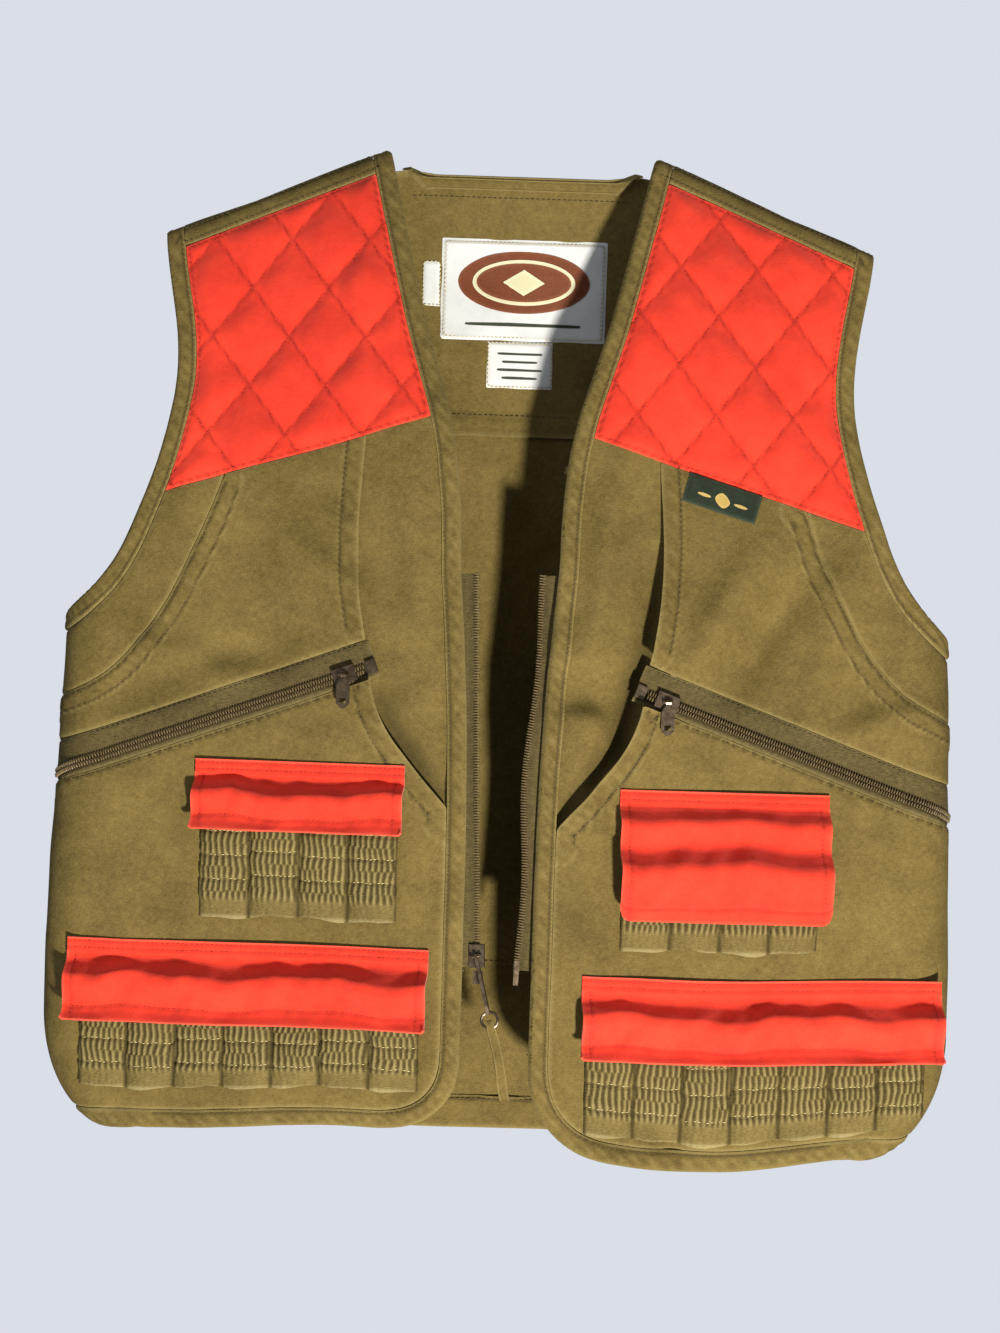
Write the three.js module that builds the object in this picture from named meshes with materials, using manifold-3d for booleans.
// An upland hunting vest: olive canvas, quilted blaze orange shoulder patches and pocket flaps, elastic
// shell loops, slanted zipped pockets and a game bag on the back. It hangs by its shoulders, as on a hanger.
// Millimetres, +Z up, the front faces -Y, +X is the wearer's left. The origin is midway between the neck
// ends of the two shoulder seams. Most cloth is cut from layers that follow one body surface, so that
// pieces stay parallel.
import * as THREE from "three";
import { mergeVertices } from "three/addons/utils/BufferGeometryUtils.js";
import Module from "manifold-3d";

const wasm = await Module();
wasm.setup();
const { lerp, clamp, degToRad } = THREE.MathUtils;

// The body.
const NECK_HALF = 82; // centre to the neck end of a shoulder seam
const SHOULDER_HALF = 216; // centre to the shoulder tip
const SHOULDER_DROP = 55;
const ARMHOLE_DEPTH = 290; // neck to underarm
const HALF_CHEST = 268; // centre to side seam at the underarm
const HIP_EASE = 7; // the hip is this much wider, each side
const HIP_HEIGHT = 115; // the widest place, above the hem
const LENGTH = 603; // neck to the back hem
const FRONT_SHORT = 3; // the fronts end this much above the back hem
const CORNER_IN = 50; // how far the sides turn in at the hem
const CORNER_UP = 70;
const FRONT_DEPTH = 50; // the seam plane to the fronts, at the centre
const FRONT_TAPER = 0.1; // how fast the fronts fall back toward the side
const BACK_DEPTH = 32;
const SIDE_ROUND = 28;
const OVER_SHOULDER = 14; // the turn over the top of the shoulder
const DRAPE = 240; // below the seam, where the cloth hangs straight down
const SHOULDER_SHARE = 0.3; // the share of the depth that is reached at the top
const SEAM_HALF_GAP = 0.2;

// Cloth and clearances.
const CLOTH = 1.6;
const OVERLAY = 1.4;
const GAP = 0.3;
const BINDING = 10; // the width of a bound edge
const BINDING_CLOTH = 1.2;
const SEAM_BAND = 12; // the felled strip along a shoulder seam
const FLAP_CLOTH = 1.8;

// Seams on each front, from the centre and down from the neck.
const NECK_EDGE = [
  [84, 20], [82, 0], [74, -36], [56, -110], [38, -170], [32, -220], [31, -255],
  [27.5, -296], [25, -337], [23.5, -381], [22.5, -430], [22, -508],
];
const FRONT_CORNER = 44; // the radius of the rounded lower corner
const ARMHOLE_WAIST = [205, -145]; // the deepest part of the armhole
const PATCH_INNER = [50, -165]; // the lower edge of a shoulder patch
const PATCH_OUTER = [208, -213];
const SLASH_EDGE = [[87, -150], [91, -215], [90.5, -255], [84.5, -300], [73, -350], [28, -405], [10, -418]];
const SIDE_SEAM_TOP = [175, -206];
const SIDE_SEAM_DROP = 50; // the lower end of the curved seam, below the underarm

// The slanted pocket zips.
const ZIP_START = [78, -315];
const ZIP_ANGLE = 20;
const ZIP_ABOVE = 16.5; // chain centre to the panel above
const ZIP_BELOW = 7.2;
const TAPE = 0.7;
const CHAIN_WIDTH = 6;
const CHAIN_HEIGHT = 2.2;
const SLIDER_PLACE = 20; // along the chain, closed
const SLIDER_LENGTH = 14;
const SLIDER_WALL = 1.6;
const SLIDER_PLATE = 1.2;
const RUN_GAP = 0.35;
const STOP_LENGTH = 6;

// A pull's pivot, the same on every slider.
const BAR_RADIUS = 0.7;
const EYE_WALL = 1;
const EYE_WIDTH = 3;
const POST = 1.2;
const POST_GAP = 0.5;
const PULL_LENGTH = 20;
const PULL_WIDTH = 8;
const PULL_PLATE = 1.2;

// The front zip, which is separated. Its lower parts are on the wearer's right side.
const FRONT_ZIP_TOP = [20.5, -258];
const FRONT_ZIP_FOOT = [12, -505];
const FRONT_CHAIN_WIDTH = 5;
const FRONT_SLIDER_CLEAR = 0.85; // between the slider and the bound edge that it runs behind
const FRONT_TAPE_WIDTH = 16;
const FRONT_SLIDER_PLACE = 17; // above the foot of the zip
const FOOT_LENGTH = 8;
const PIN_LENGTH = 15;
const FRONT_PULL_LENGTH = 34;
const FRONT_PULL_TILT = 12;
const RING_RADIUS = 5;
const RING_WIRE = 0.9;
const STRAP_WIDTH = 6;
const STRAP_LENGTH = 48;

// Pockets: the flaps and the elastic shell loops. The wearer's left front hangs a little lower.
const LEFT_DROP = 10;
const STRIP = 8; // the sewn top of a flap
const CHEST_FLAP = { from: 59, to: 187, top: -375, height: 41 };
const LEFT_CHEST_FLAP_HEIGHT = 78; // this one is bent open
const LEFT_CHEST_SHIFT = 12;
const LOWER_FLAP = { from: 41, to: 262, top: -486, height: 48 };
const CHEST_LOOPS = { count: 4, pitch: 30, from: 61, top: -396, height: 74 };
const LOWER_LOOPS = { count: 7, pitch: 29.6, from: 45, top: -512, height: 64 };
const LOOP_WEB = 0.8;
const LOOP_ROOM = 3.5; // inside a relaxed loop
const LOOP_CLOTH = 1.2;

// The back, the game bag and the labels.
const BACK_NECK = 10;
const YOKE_SEAM = 159;
const HEM_FOLD = 20;
const BAG = { half: 215, top: -325, bottom: -585, depth: 26, corner: 18 };
const BAG_PANEL = { half: 150, top: -352, bottom: -560 };
const NECK_LABEL = { centre: 3, width: 103, top: -48, height: 62 };
const CARE_LABEL = { centre: 2, width: 41, top: -110.5, height: 29 };
const SIZE_TAB = { centre: -54.5, width: 11, top: -62, height: 28 };
const CHEST_TAG = { centre: 129, width: 46, height: 18 };
const LABEL = 0.8;

// Worked out from those.
const SEAM_SLOPE = SHOULDER_DROP / (SHOULDER_HALF - NECK_HALF);
const OVERLAY_IN = CLOTH + GAP;
const OVERLAY_OUT = OVERLAY_IN + OVERLAY;
const TRIM_IN = OVERLAY_OUT + GAP;
const CHAIN_IN = OVERLAY_IN + TAPE + GAP;
const CHAIN_OUT = CHAIN_IN + CHAIN_HEIGHT;
const EYE_HOLE = BAR_RADIUS + GAP;
const EYE_RADIUS = EYE_HOLE + EYE_WALL;
const BAR_HEIGHT = EYE_RADIUS + POST_GAP; // above its plate
const EDGE_BACK = GAP + BINDING_CLOTH; // a bound edge reaches this far behind the front's inner face
const FRONT_CHAIN_DEPTH = EDGE_BACK + FRONT_SLIDER_CLEAR + SLIDER_PLATE + RUN_GAP + CHAIN_HEIGHT / 2;
const HALF_HIP = HALF_CHEST + HIP_EASE;
const FRONT_LENGTH = LENGTH - FRONT_SHORT;
const FAR = 120; // past any edge of the vest

const OLIVE = 0x8f7d42;
const DARK_OLIVE = 0x5f5430;
const BLAZE = 0xff4a26;
const BRONZE = 0x6b5a44;
const WHITE = 0xe9e7e2;

// ---- Solids ----

// A closed mesh as a solid that can be joined and cut.
function solidOf(points, faces) {
  const positions = new Float32Array(points.flatMap((p) => [p.x, p.y, p.z]));
  const triVerts = new Uint32Array(faces.flat());
  return new wasm.Manifold(new wasm.Mesh({ numProp: 3, vertProperties: positions, triVerts }));
}

// A three.js geometry as such a solid.
function solid(geometry) {
  const bare = geometry.index ? geometry.toNonIndexed() : geometry.clone();
  bare.deleteAttribute("normal");
  bare.deleteAttribute("uv");
  const merged = mergeVertices(bare, 1e-4);
  const mesh = new wasm.Mesh({
    numProp: 3,
    vertProperties: merged.attributes.position.array,
    triVerts: new Uint32Array(merged.index.array),
  });
  return new wasm.Manifold(mesh);
}

function geometryOf(body) {
  const mesh = body.getMesh();
  return new THREE.BufferGeometry()
    .setAttribute("position", new THREE.BufferAttribute(new Float32Array(mesh.vertProperties), 3))
    .setIndex(new THREE.BufferAttribute(new Uint32Array(mesh.triVerts), 1));
}

const vector = ([x, y]) => new THREE.Vector2(x, y);

// A polyline moved sideways: to its right for a positive distance, seen along it.
function alongside(points, distance) {
  return points.map((p, i) => {
    const before = points[Math.max(i - 1, 0)];
    const after = points[Math.min(i + 1, points.length - 1)];
    const along = after.clone().sub(before).normalize();
    return new THREE.Vector2(p.x + along.y * distance, p.y - along.x * distance);
  });
}

// A sheet's profile: its centre line with the cloth's thickness.
function thickened(points, thickness) {
  return [...alongside(points, thickness / 2), ...alongside(points, -thickness / 2).reverse()];
}

function counterClockwise(points) {
  return THREE.ShapeUtils.isClockWise(points) ? [...points].reverse() : points;
}

function extruded(points, depth, holes = []) {
  const shape = new THREE.Shape(counterClockwise(points));
  for (const hole of holes) shape.holes.push(new THREE.Path(hole));
  return new THREE.ExtrudeGeometry(shape, { depth, bevelEnabled: false });
}

// What lies inside an outline given from the centre and down, right through the vest.
function through(points) {
  return solid(extruded(points, 4 * FAR).translate(0, 0, -2 * FAR).rotateX(Math.PI / 2));
}

// ---- The body surface ----

function seamHeight(across) {
  return -Math.max(across - NECK_HALF, 0) * SEAM_SLOPE;
}

function rowHeight(across, row) {
  const top = seamHeight(across);
  if (row < 0) return top - OVER_SHOULDER * (1 - Math.cos(((row + 1) * Math.PI) / 2));
  if (row < 1) return top - lerp(OVER_SHOULDER, DRAPE, row);
  return lerp(top - DRAPE, -LENGTH - BINDING, row - 1);
}

function fullness(row) {
  if (row < 0) return SHOULDER_SHARE * Math.sin(((row + 1) * Math.PI) / 2);
  return row < 1 ? 1 - (1 - SHOULDER_SHARE) * (1 - row) ** 2 : 1;
}

function sideHalf(height) {
  const toHip = clamp((-height - ARMHOLE_DEPTH) / (LENGTH - HIP_HEIGHT - ARMHOLE_DEPTH), 0, 1);
  const inCorner = clamp((-height - LENGTH + CORNER_UP) / CORNER_UP, 0, 1);
  return lerp(HALF_CHEST, HALF_HIP, toHip) - CORNER_IN * (1 - Math.sqrt(1 - inCorner ** 2));
}

const ROWS = [-1, -0.5, 0, 0.15, 0.3, 0.5, 0.75, 1, 1.2, 1.45, 1.6, 1.74, 1.83, 1.9, 1.96, 2];
const TURN = [1.25, 1.5, 1.75, 2];
const FRONT_START = 3;
const NECK_COLUMN = (NECK_HALF - 1.42) / (HALF_CHEST - SIDE_ROUND - FRONT_START); // where the seam turns
const FRONT = {
  way: -1,
  depth: FRONT_DEPTH,
  taper: FRONT_TAPER,
  start: FRONT_START,
  columns: [0, NECK_COLUMN, 0.67, 1, ...TURN],
};
const BACK = {
  way: 1,
  depth: BACK_DEPTH,
  taper: 0,
  start: 0,
  columns: [...TURN.map((c) => -c).reverse(), -1, -0.5, 0, 0.5, 1, ...TURN],
};

// The inner face of the cloth. A column runs from 0 at the centre to 1 where the side begins to turn and 2
// at the side seam, and a row from -1 at the shoulder seam to 2 past the hem.
function bodyPoint(face, column, row) {
  const flat = sideHalf(rowHeight(HALF_CHEST, row)) - SIDE_ROUND;
  const turn = (clamp(Math.abs(column) - 1, 0, 1) * Math.PI) / 2;
  const across = lerp(face.start, flat, Math.min(Math.abs(column), 1)) + SIDE_ROUND * Math.sin(turn);
  const depth = (face.depth - face.taper * Math.min(across, flat)) * Math.cos(turn) * fullness(row);
  const side = column < 0 ? -1 : 1;
  return new THREE.Vector3(side * across, face.way * (SEAM_HALF_GAP + depth), rowHeight(across, row));
}

function clothPoint(face, column, row, offset) {
  const step = 1e-3;
  const [first, last] = [face.columns[0], face.columns.at(-1)];
  const across = bodyPoint(face, Math.min(column + step, last), row);
  across.sub(bodyPoint(face, Math.max(column - step, first), row));
  const down = bodyPoint(face, column, Math.min(row + step, ROWS.at(-1)));
  down.sub(bodyPoint(face, column, Math.max(row - step, ROWS[0])));
  const normal = across.cross(down).normalize().multiplyScalar(face.way * offset);
  return bodyPoint(face, column, row).add(normal);
}

// A sheet of cloth all over one face of the body, between two distances from its inner face.
function layer(face, inner, outer) {
  const wide = face.columns.length;
  const points = [inner, outer].flatMap((offset) =>
    ROWS.flatMap((row) => face.columns.map((column) => clothPoint(face, column, row, offset))),
  );
  const at = (level, i, j) => (level * ROWS.length + i) * wide + j;
  const faces = [];
  const quad = (a, b, c, d) => {
    if (face.way > 0) faces.push([a, b, c], [a, c, d]);
    else faces.push([a, c, b], [a, d, c]);
  };
  const [foot, side] = [ROWS.length - 1, wide - 1];
  for (let i = 0; i < foot; i++) {
    for (let j = 0; j < side; j++) {
      quad(at(1, i, j), at(1, i, j + 1), at(1, i + 1, j + 1), at(1, i + 1, j));
      quad(at(0, i, j), at(0, i + 1, j), at(0, i + 1, j + 1), at(0, i, j + 1));
    }
    quad(at(0, i, 0), at(1, i, 0), at(1, i + 1, 0), at(0, i + 1, 0));
    quad(at(0, i + 1, side), at(1, i + 1, side), at(1, i, side), at(0, i, side));
  }
  for (let j = 0; j < side; j++) {
    quad(at(0, 0, j + 1), at(1, 0, j + 1), at(1, 0, j), at(0, 0, j));
    quad(at(0, foot, j), at(1, foot, j), at(1, foot, j + 1), at(0, foot, j + 1));
  }
  return solidOf(points, faces);
}

// ---- Outlines on a front ----

function frontEdge() {
  const neck = new THREE.SplineCurve(NECK_EDGE.map(vector)).getPoints(26);
  const foot = neck.at(-1);
  const corner = new THREE.Vector2(foot.x + FRONT_CORNER, FRONT_CORNER - FRONT_LENGTH);
  const arc = [0, 1, 2, 3, 4, 5].map((i) => {
    const angle = Math.PI + (i * Math.PI) / 10;
    return new THREE.Vector2(Math.cos(angle), Math.sin(angle)).multiplyScalar(FRONT_CORNER).add(corner);
  });
  return [...neck, ...arc, new THREE.Vector2(HALF_HIP + FAR, -FRONT_LENGTH)];
}

function armholeEdge() {
  const underarm = [HALF_CHEST, -ARMHOLE_DEPTH];
  const bend = [lerp(ARMHOLE_WAIST[0], HALF_CHEST, 0.42), lerp(ARMHOLE_WAIST[1], -ARMHOLE_DEPTH, 0.67)];
  const keys = [[SHOULDER_HALF + 2, 20], [SHOULDER_HALF, -SHOULDER_DROP], ARMHOLE_WAIST, bend, underarm];
  const past = vector([HALF_CHEST + FAR, -ARMHOLE_DEPTH - FAR / 8]);
  return [...new THREE.SplineCurve(keys.map(vector)).getPoints(20), past];
}

// The front inside both edges, drawn in from them by a distance.
function frontOutline(inset) {
  const inner = alongside(frontEdge(), -inset);
  const outer = alongside(armholeEdge(), inset);
  const side = inner.at(-1).x + FAR;
  inner[0].y = FAR;
  outer[0].y = FAR;
  const beside = [[side, inner.at(-1).y], [side, outer.at(-1).y]];
  return [...inner, ...beside.map(vector), ...outer.reverse()];
}

// A bound edge: cloth folded round the edge of the front.
function boundEdge(edge, inward) {
  const rim = alongside(edge, -inward * EDGE_BACK);
  const strip = [...rim, ...alongside(edge, inward * BINDING).reverse()];
  const fold = layer(FRONT, -EDGE_BACK, OVERLAY_OUT).intersect(through(strip));
  const core = layer(FRONT, -GAP, OVERLAY_IN).intersect(through(frontOutline(-GAP)));
  return fold.subtract(core);
}

function heightOn(from, to, across) {
  return lerp(from[1], to[1], (across - from[0]) / (to[0] - from[0]));
}

// The lower edge of the shoulder patch, and a line that is below it by a distance.
function patchEdge(drop, below) {
  return [-FAR, HALF_HIP + FAR].map((across) => {
    return new THREE.Vector2(across, heightOn(PATCH_INNER, PATCH_OUTER, across) - drop - below);
  });
}

// A place on the pocket zip's line: along its chain, and aside, which is up.
function zipPoint(drop, along, aside) {
  const place = new THREE.Vector2(along, aside).rotateAround(new THREE.Vector2(), -degToRad(ZIP_ANGLE));
  return place.add(new THREE.Vector2(ZIP_START[0], ZIP_START[1] - drop));
}

function besideZip(drop, aside) {
  return [-FAR, HALF_HIP + FAR].map((along) => zipPoint(drop, along, aside));
}

function sideSeam(distance) {
  const end = [HALF_CHEST, -ARMHOLE_DEPTH - SIDE_SEAM_DROP];
  const bend = [lerp(SIDE_SEAM_TOP[0], end[0], 0.4), lerp(SIDE_SEAM_TOP[1], end[1], 0.62)];
  const above = [SIDE_SEAM_TOP[0] - 8, SIDE_SEAM_TOP[1] + 40];
  const past = [HALF_CHEST + FAR, end[1] - FAR / 4];
  const curve = new THREE.SplineCurve([above, SIDE_SEAM_TOP, bend, end, past].map(vector));
  return alongside(curve.getPoints(16), distance);
}

function slashEdge(drop) {
  const curve = new THREE.SplineCurve(SLASH_EDGE.map(vector)).getPoints(16);
  return curve.map((p) => new THREE.Vector2(p.x, p.y - drop));
}

// What lies above, below or outside a line, as an outline.
const closedAt = (height) => (line) => {
  return [...line, vector([line.at(-1).x, height]), vector([line[0].x, height])];
};
const above = closedAt(2 * FAR);
const below = closedAt(-LENGTH - FAR);
const outside = (line) => {
  const side = HALF_HIP + 2 * FAR;
  return [...line, vector([side, line.at(-1).y]), vector([side, line[0].y])];
};

// ---- Cloth pieces of one front, as solids on the +X side ----

const insideBindings = through(frontOutline(BINDING + GAP));
const overlay = layer(FRONT, OVERLAY_IN, OVERLAY_OUT).intersect(insideBindings);

function seamLine(lower) {
  return [0, NECK_HALF, HALF_CHEST + FAR].map((across) => vector([across, seamHeight(across) - lower]));
}

function frontPanel() {
  return layer(FRONT, 0, CLOTH).intersect(through(frontOutline(0)));
}

function shoulderBand() {
  return overlay.intersect(through(above(seamLine(SEAM_BAND))));
}

function shoulderPatch(drop) {
  const lowerPart = overlay.intersect(through(below(seamLine(SEAM_BAND + GAP))));
  return lowerPart.intersect(through(above(patchEdge(drop, 0))));
}

function underPatch(drop) {
  return overlay.intersect(through(below(patchEdge(drop, GAP))));
}

function chestPanel(drop) {
  const front = underPatch(drop).intersect(through(outside(slashEdge(drop))));
  const withoutSide = front.subtract(through(above(sideSeam(GAP / 2))));
  return withoutSide.intersect(through(above(besideZip(drop, ZIP_ABOVE))));
}

function sidePanel(drop) {
  return underPatch(drop).intersect(through(above(sideSeam(-GAP / 2))));
}

function pocketPanel(drop) {
  const lowerPart = overlay.intersect(through(below(besideZip(drop, -ZIP_BELOW))));
  const slash = slashEdge(drop);
  const foot = new THREE.Vector2(slash.at(-1).x, -LENGTH - FAR);
  return lowerPart.intersect(through(outside([...slash, foot])));
}

// A strip of cloth or chain along the zip, from a distance along it and out to the side seam.
function alongZip(drop, from, [lower, upper], [inner, outer]) {
  const end = HALF_HIP + FAR;
  const corners = [[from, lower], [end, lower], [end, upper], [from, upper]];
  return layer(FRONT, inner, outer).intersect(through(corners.map(([x, y]) => zipPoint(drop, x, y))));
}

function zipTape(drop) {
  const width = [GAP - ZIP_BELOW, ZIP_ABOVE - GAP];
  return alongZip(drop, 0, width, [OVERLAY_IN, OVERLAY_IN + TAPE]).intersect(insideBindings);
}

function zipChain(drop) {
  const start = STOP_LENGTH + 2 * GAP + CHAIN_OUT * FRONT_TAPER;
  return alongZip(drop, start, [-CHAIN_WIDTH / 2, CHAIN_WIDTH / 2], [CHAIN_IN, CHAIN_OUT]);
}

function rectangle(centre, width, top, height) {
  const [left, right, bottom] = [centre - width / 2, centre + width / 2, top - height];
  return [[left, top], [right, top], [right, bottom], [left, bottom]].map(vector);
}

function chestTag(drop) {
  const slope = vector(PATCH_OUTER).sub(vector(PATCH_INNER)).angle();
  const place = vector([CHEST_TAG.centre, heightOn(PATCH_INNER, PATCH_OUTER, CHEST_TAG.centre) - drop]);
  const corners = rectangle(0, CHEST_TAG.width, -GAP, CHEST_TAG.height);
  const outline = corners.map((p) => p.rotateAround(new THREE.Vector2(), slope).add(place));
  return layer(FRONT, TRIM_IN, TRIM_IN + LABEL).intersect(through(outline));
}

// ---- Flaps and shell loops, in a front's own plane: across, up, and out from the cloth's inner face ----

// A sheet with one profile, drawn as out and up, along a flap.
function alongFlap(profile, flap) {
  const turned = profile.map((p) => new THREE.Vector2(-p.x, p.y));
  return extruded(turned, flap.to - flap.from).rotateY(Math.PI / 2).translate(flap.from, 0, 0);
}

function flapStrip(flap) {
  const [inner, outer] = [TRIM_IN, TRIM_IN + FLAP_CLOTH];
  const seam = flap.top - STRIP;
  const corners = [[inner, flap.top], [outer, flap.top], [outer, seam], [inner, seam]];
  return alongFlap(corners.map(vector), flap);
}

// The flap leaves its seam, bulges over the loops and curls out at its free edge.
function flapCloth(flap, curl) {
  const seat = TRIM_IN + FLAP_CLOTH / 2;
  const clear = TRIM_IN + LOOP_WEB + LOOP_ROOM + LOOP_CLOTH + GAP + FLAP_CLOTH;
  const bulge = clear + 1.2;
  const start = STRIP + GAP;
  const line = [
    [seat, start], [seat, start + 1], [seat + 1, start + 4], [clear, start + 9], [bulge, start + 16],
    [clear, flap.height - curl - 6], [clear + 0.3 + curl * 0.12, flap.height - curl * 0.5],
    [clear + 1.8 + curl * 0.28, flap.height],
  ];
  const profile = line.map(([out, down]) => new THREE.Vector2(out, flap.top - down));
  return alongFlap(thickened(profile, FLAP_CLOTH), flap);
}

// The plan point of the front at a height, a distance out from its inner face.
function planPoint(across, out, height) {
  const flat = sideHalf(height) - SIDE_ROUND;
  const turn = Math.asin(clamp((across - flat) / SIDE_ROUND, 0, 1));
  const edgeDepth = FRONT_DEPTH - FRONT_TAPER * Math.min(across, flat);
  const slope = Math.atan(FRONT_TAPER);
  const lean = Math.max(turn, slope);
  const depth = SEAM_HALF_GAP + edgeDepth * Math.cos(turn);
  return new THREE.Vector2(across + out * Math.sin(lean), -depth - out * Math.cos(lean));
}

function shellLoops(loops) {
  const height = loops.top - loops.height / 2;
  const web = TRIM_IN + LOOP_WEB;
  const crest = web + LOOP_ROOM + LOOP_CLOTH;
  const wave = [[0, web + 0.6], [0.22, crest - 0.8], [0.5, crest], [0.78, crest - 0.8]];
  const ceiling = web + 0.7 * LOOP_ROOM;
  const room = [[0.1, web], [0.9, web], [0.76, ceiling], [0.5, web + LOOP_ROOM], [0.24, ceiling]];
  const starts = Array.from({ length: loops.count }, (_, i) => loops.from + i * loops.pitch);
  const end = loops.from + loops.count * loops.pitch;
  const place = (start) => ([share, out]) => planPoint(start + share * loops.pitch, out, height);
  const top = starts.flatMap((start) => wave.map(place(start)));
  const bottom = [...starts, end].map((start) => planPoint(start, TRIM_IN, height));
  const outline = [...top, planPoint(end, web + 0.6, height), ...bottom.reverse()];
  const holes = starts.map((start) => room.map(place(start)));
  return extruded(outline, loops.height, holes).translate(0, 0, loops.top - loops.height);
}

// ---- Zip hardware. A slider's own frame has its run along X, and Z out from the cloth ----

function box(x, y, z) {
  const geometry = new THREE.BoxGeometry(x[1] - x[0], y[1] - y[0], z[1] - z[0]);
  return solid(geometry.translate((x[0] + x[1]) / 2, (y[0] + y[1]) / 2, (z[0] + z[1]) / 2));
}

// The arch that a pull hangs on: two posts and a bar along X, standing on a plate at a height.
function bail(plate) {
  const inner = EYE_WIDTH / 2 + POST_GAP;
  const outer = inner + POST;
  const bar = solid(new THREE.CylinderGeometry(BAR_RADIUS, BAR_RADIUS, 2 * outer, 10).rotateZ(Math.PI / 2));
  const height = plate + BAR_HEIGHT;
  const posts = [[-outer, -inner], [inner, outer]].map((x) => {
    return box(x, [-BAR_RADIUS - 0.1, BAR_RADIUS + 0.1], [plate - 0.4, height + BAR_RADIUS]);
  });
  return posts[0].add(posts[1]).add(bar.translate([0, 0, height]));
}

function turnedAboutZ(body, degrees) {
  const angle = degToRad(degrees);
  return solid(geometryOf(body).rotateZ(angle));
}

function pocketSlider() {
  const inside = CHAIN_WIDTH / 2 + RUN_GAP;
  const outside = inside + SLIDER_WALL;
  const roof = CHAIN_OUT + RUN_GAP;
  const half = SLIDER_LENGTH / 2;
  const body = box([-half, half], [-outside, outside], [CHAIN_IN, roof + SLIDER_PLATE]);
  const channel = box([-half - 1, half + 1], [-inside, inside], [CHAIN_IN - 1, roof]);
  const arch = turnedAboutZ(bail(roof + SLIDER_PLATE), ZIP_ANGLE);
  return body.subtract(channel).add(arch);
}

function circle(radius, height = 0) {
  return Array.from({ length: 10 }, (_, i) => {
    const angle = (-i * Math.PI) / 5;
    return new THREE.Vector2(radius * Math.cos(angle), height + radius * Math.sin(angle));
  });
}

// A pull hangs down -Y from an eye round X, with its pivot at the origin.
function ringAroundX(outer, hole, width) {
  return extruded(circle(outer), width, [circle(hole)]).translate(0, 0, -width / 2).rotateY(Math.PI / 2);
}

function pocketPull() {
  const eye = solid(ringAroundX(EYE_RADIUS, EYE_HOLE, EYE_WIDTH));
  const half = PULL_WIDTH / 2;
  const outline = [
    [-EYE_WIDTH / 2, 0.5 - EYE_RADIUS], [-half, -6], [-half, 3 - PULL_LENGTH], [3 - half, -PULL_LENGTH],
    [half - 3, -PULL_LENGTH], [half, 3 - PULL_LENGTH], [half, -6], [EYE_WIDTH / 2, 0.5 - EYE_RADIUS],
  ];
  const corners = [[1, -1], [-1, -1], [-1, 1], [1, 1]];
  const hole = corners.map(([x, y]) => vector([x * 2, 4.7 + y * 1.5 - PULL_LENGTH]));
  const plate = extruded(outline.map(vector), PULL_PLATE, [hole]).translate(0, 0, -PULL_PLATE / 2);
  return eye.add(solid(plate));
}

function zipStop() {
  const half = CHAIN_WIDTH / 2 + 1;
  return box([0, STOP_LENGTH], [-half, half], [CHAIN_IN, CHAIN_OUT + 0.4]);
}

// The front zip's own frame has Y up along the chain and X toward the cloth that it is sewn to.
function frontZipLength() {
  return vector(FRONT_ZIP_TOP).distanceTo(vector(FRONT_ZIP_FOOT));
}

function frontTape() {
  const half = FRONT_CHAIN_WIDTH / 2 + GAP;
  const sewn = -EDGE_BACK - GAP - TAPE / 2;
  const depth = -FRONT_CHAIN_DEPTH;
  const line = [[half, depth], [half + 3, depth], [half + 6.5, sewn], [half + FRONT_TAPE_WIDTH, sewn]];
  const length = frontZipLength();
  return extruded(thickened(line.map(vector), TAPE), length).rotateX(Math.PI / 2).translate(0, length, 0);
}

function chainRange(depth) {
  return [depth - CHAIN_HEIGHT / 2, depth + CHAIN_HEIGHT / 2];
}

function frontChain(foot) {
  const half = FRONT_CHAIN_WIDTH / 2;
  return box([-half, half], [foot + GAP, frontZipLength()], chainRange(-FRONT_CHAIN_DEPTH));
}

function frontFoot(length, width) {
  return box(width, [0, length], chainRange(-FRONT_CHAIN_DEPTH));
}

function frontSlider() {
  const inside = FRONT_CHAIN_WIDTH / 2 + RUN_GAP;
  const outside = inside + SLIDER_WALL;
  const [back, front] = chainRange(-FRONT_CHAIN_DEPTH);
  const half = SLIDER_LENGTH / 2;
  const plate = front + RUN_GAP + SLIDER_PLATE;
  const body = box([-outside, outside], [-half, half], [back - RUN_GAP - SLIDER_PLATE, plate]);
  const channel = box([-inside, outside + 1], [-half - 1, half + 1], [back - RUN_GAP, front + RUN_GAP]);
  return body.subtract(channel).add(turnedAboutZ(bail(plate), -FRONT_PULL_TILT));
}

// A flat pull seen edge on, with an eye at each end.
function frontPull() {
  const foot = -FRONT_PULL_LENGTH;
  const outline = [[1.4, 1.4], [-1.4, 1.4], [-2, 0], [-2.6, foot + 4], [-2, foot - 1.8]];
  const right = outline.map(([x, y]) => [-x, y]).reverse();
  const holes = [circle(EYE_HOLE), circle(RING_WIRE + GAP, foot)];
  const plate = extruded([...outline, ...right].map(vector), EYE_WIDTH - 1, holes);
  return plate.translate(0, 0, (1 - EYE_WIDTH) / 2).rotateY(Math.PI / 2);
}

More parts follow.
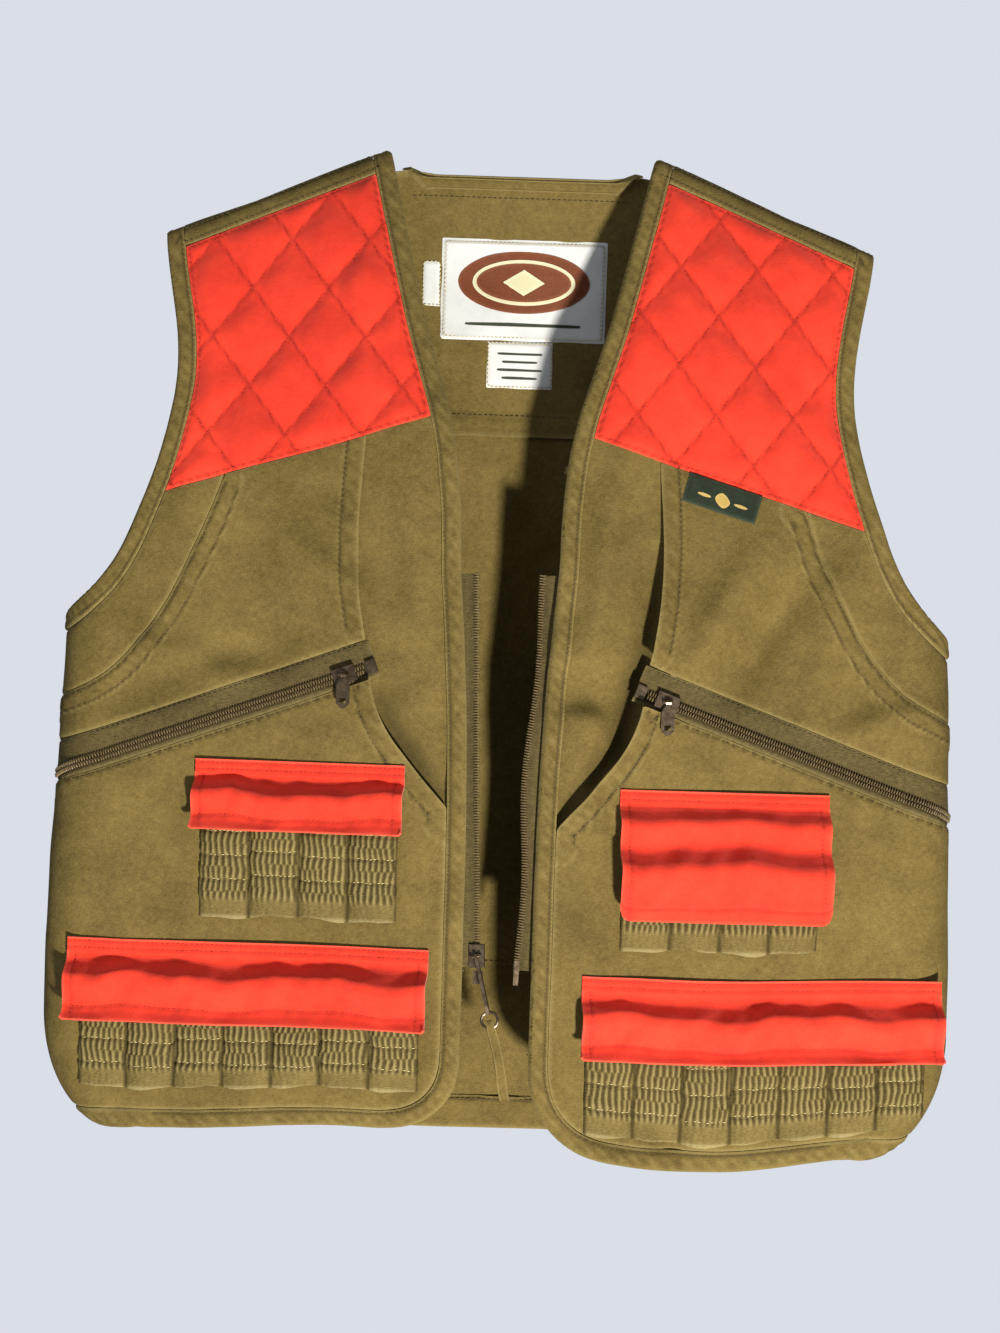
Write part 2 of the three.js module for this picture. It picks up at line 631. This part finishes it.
function pullStrap() {
  const rise = RING_RADIUS - Math.sqrt(RING_RADIUS ** 2 - (STRAP_WIDTH / 2) ** 2);
  const reach = RING_WIRE + rise + 2 * GAP + BINDING_CLOTH / 2;
  const bend = [-75, -45, -15, 15, 45, 75].map((degrees) => {
    const angle = degToRad(degrees);
    return [-reach * Math.sin(angle), reach * Math.cos(angle)];
  });
  const line = [[4, 2 - STRAP_LENGTH], [reach, -6], ...bend, [-reach, -6], [-4, 6 - STRAP_LENGTH]];
  const turned = line.map(([out, up]) => new THREE.Vector2(-out, up));
  const strap = extruded(thickened(turned, BINDING_CLOTH), STRAP_WIDTH);
  return strap.translate(0, 0, -STRAP_WIDTH / 2).rotateY(Math.PI / 2);
}

// ---- The back, the game bag and the labels ----

function mirrored(points) {
  return points.map((p) => new THREE.Vector2(-p.x, p.y)).reverse();
}

// Half of the back's neckline, from the shoulder down and in to the centre.
function neckLine(half, depth) {
  return [[half, FAR], [half, 0], [NECK_HALF - 22, -depth], [0, -depth]];
}

// The back's outline, drawn in from its neck and armholes by a distance.
function backOutline(inset) {
  const arm = alongside(armholeEdge(), inset);
  arm[0].y = FAR;
  const neck = neckLine(NECK_HALF + inset, BACK_NECK + inset);
  const side = [[HALF_HIP + 2 * FAR, arm.at(-1).y], [HALF_HIP + 2 * FAR, -LENGTH]];
  const half = [...neck.map(vector).reverse(), ...arm, ...side.map(vector)];
  return [...half, ...mirrored(half)];
}

const belowHeight = (height) => below([vector([-3 * FAR, height]), vector([3 * FAR, height])]);
const aboveHeight = (height) => above([vector([-3 * FAR, height]), vector([3 * FAR, height])]);

function backCloth() {
  return layer(BACK, 0, CLOTH).intersect(through(backOutline(0)));
}

function backNeckBinding() {
  const strip = layer(BACK, OVERLAY_IN, OVERLAY_OUT).intersect(through(backOutline(0)));
  const half = neckLine(NECK_HALF, BACK_NECK + BINDING).map(vector);
  return strip.intersect(through([...half, ...mirrored(half)]));
}

function hemBand() {
  const band = layer(BACK, -GAP - BINDING_CLOTH, -GAP).intersect(through(belowHeight(HEM_FOLD - LENGTH)));
  return band.intersect(through(backOutline(0)));
}

function onBackLining(label, inner, outer) {
  const outline = rectangle(label.centre, label.width, label.top, label.height);
  return layer(BACK, -outer, -inner).intersect(through(outline));
}

// A pouch that is open at its top: a wall of cloth that stands off the back, with rounded sides.
function pouchPlan(inset) {
  const start = SEAM_HALF_GAP + BACK_DEPTH + OVERLAY_IN;
  const [half, depth, corner] = [BAG.half - inset, BAG.depth - 2 * inset, BAG.corner - inset];
  const side = [0, 1, 2, 3].map((i) => {
    const angle = (i * Math.PI) / 6;
    const centre = [half - corner, start + inset + depth - corner];
    return [centre[0] + corner * Math.cos(angle), centre[1] + corner * Math.sin(angle)];
  });
  const right = [[half, start + inset], ...side].map(vector);
  return [...right, ...mirrored(right)];
}

function gameBag() {
  const outer = solid(extruded(pouchPlan(0), BAG.top - BAG.bottom).translate(0, 0, BAG.bottom));
  const room = solid(extruded(pouchPlan(CLOTH), BAG.top - BAG.bottom).translate(0, 0, BAG.bottom + CLOTH));
  return outer.subtract(room);
}

function bagPanel() {
  const face = SEAM_HALF_GAP + BACK_DEPTH + OVERLAY_IN + BAG.depth + GAP;
  const { half, bottom, top } = BAG_PANEL;
  return box([-half, half], [face, face + BINDING_CLOTH], [bottom, top]);
}

// ---- The assembly ----

function piece(name, shape, color, roughness = 0.9, metalness = 0) {
  const geometry = shape.isBufferGeometry ? shape : geometryOf(shape);
  const mesh = new THREE.Mesh(geometry, new THREE.MeshStandardMaterial({ color, roughness, metalness }));
  mesh.name = name;
  return mesh;
}

const metal = (name, shape) => piece(name, shape, BRONZE, 0.35, 0.9);

// A group that lies in the plane of a front, at a place across and up, turned about the way out of the cloth.
function inFrontPlane(parent, [across, height], out, degrees) {
  const plane = new THREE.Group();
  plane.position.set(0, -SEAM_HALF_GAP - FRONT_DEPTH, 0);
  plane.rotation.set(Math.PI / 2, Math.atan(FRONT_TAPER), 0, "XYZ");
  const place = new THREE.Group();
  place.position.set(across * Math.hypot(1, FRONT_TAPER), height, out);
  place.rotation.z = degToRad(degrees);
  plane.add(place);
  parent.add(plane);
  return place;
}

function addPocketZip(front, name, drop) {
  const start = [ZIP_START[0], ZIP_START[1] - drop];
  const reach = SLIDER_PLACE * Math.cos(degToRad(ZIP_ANGLE));
  const place = [start[0] + reach, start[1] - SLIDER_PLACE * Math.sin(degToRad(ZIP_ANGLE))];
  const bar = CHAIN_OUT + RUN_GAP + SLIDER_PLATE + BAR_HEIGHT;
  front.add(piece(name + "_pocket_zip_tape", zipTape(drop), DARK_OLIVE));
  front.add(piece(name + "_pocket_zip_chain", zipChain(drop), BRONZE, 0.5));
  inFrontPlane(front, place, 0, -ZIP_ANGLE).add(metal(name + "_pocket_zip_slider", pocketSlider()));
  inFrontPlane(front, place, bar, 0).add(metal(name + "_pocket_zip_pull", pocketPull()));
  inFrontPlane(front, start, 0, -ZIP_ANGLE).add(metal(name + "_pocket_zip_stop", zipStop()));
}

function addFrontZip(front, name, withSlider) {
  const lean = THREE.MathUtils.radToDeg(
    Math.atan2(FRONT_ZIP_FOOT[0] - FRONT_ZIP_TOP[0], FRONT_ZIP_TOP[1] - FRONT_ZIP_FOOT[1]),
  );
  const zip = inFrontPlane(front, FRONT_ZIP_FOOT, 0, lean);
  zip.add(piece(name + "_front_zip_tape", frontTape(), DARK_OLIVE));
  zip.add(piece(name + "_front_zip_chain", frontChain(withSlider ? FOOT_LENGTH : PIN_LENGTH), BRONZE, 0.5));
  if (!withSlider) {
    zip.add(metal("front_zip_pin", frontFoot(PIN_LENGTH, [-1.5, 1.5])));
    return;
  }
  const half = FRONT_CHAIN_WIDTH / 2;
  zip.add(metal("front_zip_box", frontFoot(FOOT_LENGTH, [-half - 1, half])));
  const runner = new THREE.Group();
  runner.position.y = FRONT_SLIDER_PLACE;
  runner.add(metal("front_zip_slider", frontSlider()));
  zip.add(runner);
  const hanger = new THREE.Group();
  hanger.position.z = chainRange(-FRONT_CHAIN_DEPTH)[1] + RUN_GAP + SLIDER_PLATE + BAR_HEIGHT;
  hanger.rotation.z = degToRad(-FRONT_PULL_TILT);
  hanger.add(metal("front_zip_pull", frontPull()));
  runner.add(hanger);
  const ring = metal("front_zip_ring", new THREE.TorusGeometry(RING_RADIUS, RING_WIRE, 8, 16));
  ring.position.y = -FRONT_PULL_LENGTH - RING_RADIUS;
  const strap = piece("front_pull_strap", pullStrap(), OLIVE);
  strap.position.y = -FRONT_PULL_LENGTH - 2 * RING_RADIUS;
  hanger.add(ring, strap);
}

function addPocket(front, name, flap, loops, curl) {
  const plane = inFrontPlane(front, [0, 0], 0, 0);
  plane.add(piece(name + "_flap_strip", flapStrip(flap), BLAZE));
  plane.add(piece(name + "_flap", flapCloth(flap, curl), BLAZE));
  front.add(piece(name + "_shell_loops", shellLoops(loops), OLIVE));
}

// A flap or a band of loops that is moved across and down.
function moved(item, across, drop) {
  const shifted = { ...item, from: item.from + across, top: item.top - drop };
  if ("to" in item) shifted.to = item.to + across;
  return shifted;
}

function addFront(vest, name, mirror, drop) {
  const front = new THREE.Group();
  front.scale.x = mirror;
  vest.add(front);
  const isLeft = mirror > 0;
  const armhole = armholeEdge();
  front.add(piece(name + "_front_panel", frontPanel(), OLIVE));
  front.add(piece(name + "_shoulder_band", shoulderBand(), OLIVE));
  front.add(piece(name + "_shoulder_patch", shoulderPatch(drop), BLAZE));
  front.add(piece(name + "_side_panel", sidePanel(drop), OLIVE));
  front.add(piece(name + "_chest_panel", chestPanel(drop), OLIVE));
  front.add(piece(name + "_pocket_panel", pocketPanel(drop), OLIVE));
  front.add(piece(name + "_armhole_binding", boundEdge(armhole, 1), OLIVE));
  front.add(piece(name + "_front_edge_binding", boundEdge(frontEdge(), -1), OLIVE));
  addPocketZip(front, name, drop);
  addFrontZip(front, name, !isLeft);
  const across = isLeft ? LEFT_CHEST_SHIFT : 0;
  const height = isLeft ? LEFT_CHEST_FLAP_HEIGHT : CHEST_FLAP.height;
  const chestFlap = { ...moved(CHEST_FLAP, across, drop), height };
  addPocket(front, name + "_chest", chestFlap, moved(CHEST_LOOPS, across, drop), isLeft ? 38 : 6);
  addPocket(front, name + "_lower", moved(LOWER_FLAP, 0, drop), moved(LOWER_LOOPS, 0, drop), 8);
  if (isLeft) front.add(piece("chest_tag", chestTag(drop), 0x2c3324));
}

function addBack(vest) {
  const cloth = backCloth();
  vest.add(piece("back_yoke", cloth.intersect(through(aboveHeight(GAP - YOKE_SEAM))), OLIVE));
  vest.add(piece("back_panel", cloth.intersect(through(belowHeight(-YOKE_SEAM))), OLIVE));
  vest.add(piece("back_neck_binding", backNeckBinding(), OLIVE));
  vest.add(piece("back_hem_band", hemBand(), OLIVE));
  vest.add(piece("game_bag", gameBag(), OLIVE));
  vest.add(piece("game_bag_orange_panel", bagPanel(), BLAZE));
  vest.add(piece("neck_label", onBackLining(NECK_LABEL, GAP, GAP + LABEL), WHITE, 0.6));
  vest.add(piece("care_label", onBackLining(CARE_LABEL, GAP, GAP + LABEL), WHITE, 0.6));
  vest.add(piece("size_tab", onBackLining(SIZE_TAB, GAP, GAP + LABEL), WHITE, 0.6));
}

const vest = new THREE.Group();
addBack(vest);
addFront(vest, "right", -1, 0);
addFront(vest, "left", 1, LEFT_DROP);

export default vest;
